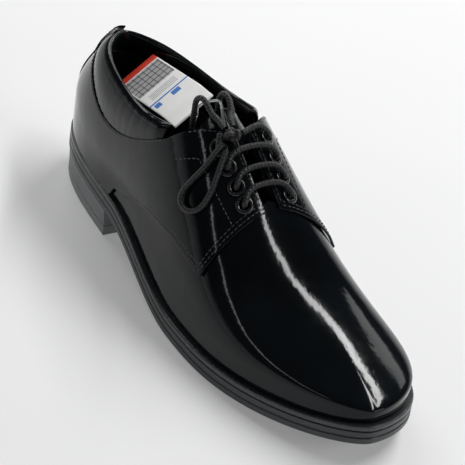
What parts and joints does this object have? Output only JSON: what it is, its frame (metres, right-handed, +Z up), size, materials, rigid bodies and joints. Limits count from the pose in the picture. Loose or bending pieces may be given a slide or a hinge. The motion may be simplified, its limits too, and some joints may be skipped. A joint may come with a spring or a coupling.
{
  "type": "derby dress shoe",
  "caption": "Plain-toe lace-up derby dress shoe for the right foot in black patent leather, with a low stacked heel, a padded collar, a half-tied bow and a folded hang tag tied to it.",
  "frame": {"origin": "on the floor, under the middle of the shoe's outline", "axes": "+X from heel to toe, +Y to the inner (medial) side of the foot, +Z up"},
  "size_m": [0.2976, 0.094, 0.1127],
  "materials": {
    "patent_leather": "black patent leather with a mirror gloss",
    "soft_patent_leather": "soft black glossy leather",
    "lining_leather": "matt black lining leather",
    "sole_rubber": "black moulded rubber, satin",
    "heel_rubber": "dark grey moulded rubber, matt",
    "steel": "plain steel",
    "cork": "pressed cork filler",
    "insole_board": "pressed fibre board",
    "stiffener": "thermoplastic stiffener sheet",
    "foam": "open-cell foam, uncovered",
    "black_enamel": "black enamel on brass",
    "cotton_lace": "round braided black cotton, lightly waxed",
    "lace_tip_plastic": "black moulded plastic",
    "card": "coated paper card",
    "clear_plastic": "clear moulded plastic"
  },
  "bodies": {
    "shoe": {"heel_top_piece": "heel_rubber", "heel_block": "heel_rubber", "outsole": "sole_rubber", "heel_nail_1": "steel", "heel_nail_2": "steel", "heel_nail_3": "steel", "heel_nail_4": "steel", "heel_nail_5": "steel", "welt": "sole_rubber", "cork_filler": "cork", "shank": "steel", "insole_board": "insole_board", "sock_liner": "lining_leather", "vamp": "patent_leather", "toe_puff": "stiffener", "vamp_lining": "lining_leather", "quarter_lateral": "patent_leather", "quarter_medial": "patent_leather", "quarter_lining_lateral": "lining_leather", "quarter_lining_medial": "lining_leather", "facing_stay_lateral": "stiffener", "facing_stay_medial": "stiffener", "heel_counter": "stiffener", "back_strip": "patent_leather", "collar": "soft_patent_leather", "collar_foam": "foam", "eyelet_lateral_1": "black_enamel", "eyelet_lateral_2": "black_enamel", "eyelet_lateral_3": "black_enamel", "eyelet_lateral_4": "black_enamel", "eyelet_medial_1": "black_enamel", "eyelet_medial_2": "black_enamel", "eyelet_medial_3": "black_enamel", "eyelet_medial_4": "black_enamel", "lace": "cotton_lace", "lace_knot": "cotton_lace", "bow_loop": "cotton_lace", "lace_end_lateral": "cotton_lace", "lace_end_medial": "cotton_lace", "lace_tip_lateral": "lace_tip_plastic", "lace_tip_medial": "lace_tip_plastic", "tag_string": "clear_plastic"},
    "tongue": {"tongue": "soft_patent_leather", "tongue_lining": "lining_leather"},
    "tag": {"hang_tag": "card", "tag_toggle": "clear_plastic"}
  },
  "joints": [
    {"name": "tongue_flex", "type": "hinge", "parent": "shoe", "child": "tongue", "pos_m": [0.04, -0.0014, 0.063], "axis": [0, 1, 0], "range_deg": [-3, 0], "stiffness_Nm_per_rad": 2},
    {"name": "tag_swing", "type": "hinge", "parent": "shoe", "child": "tag", "pos_m": [-0.0382, -0.0108, 0.0934], "axis": [-0.1961, 0.9806, 0], "range_deg": [0, 60]}
  ]
}
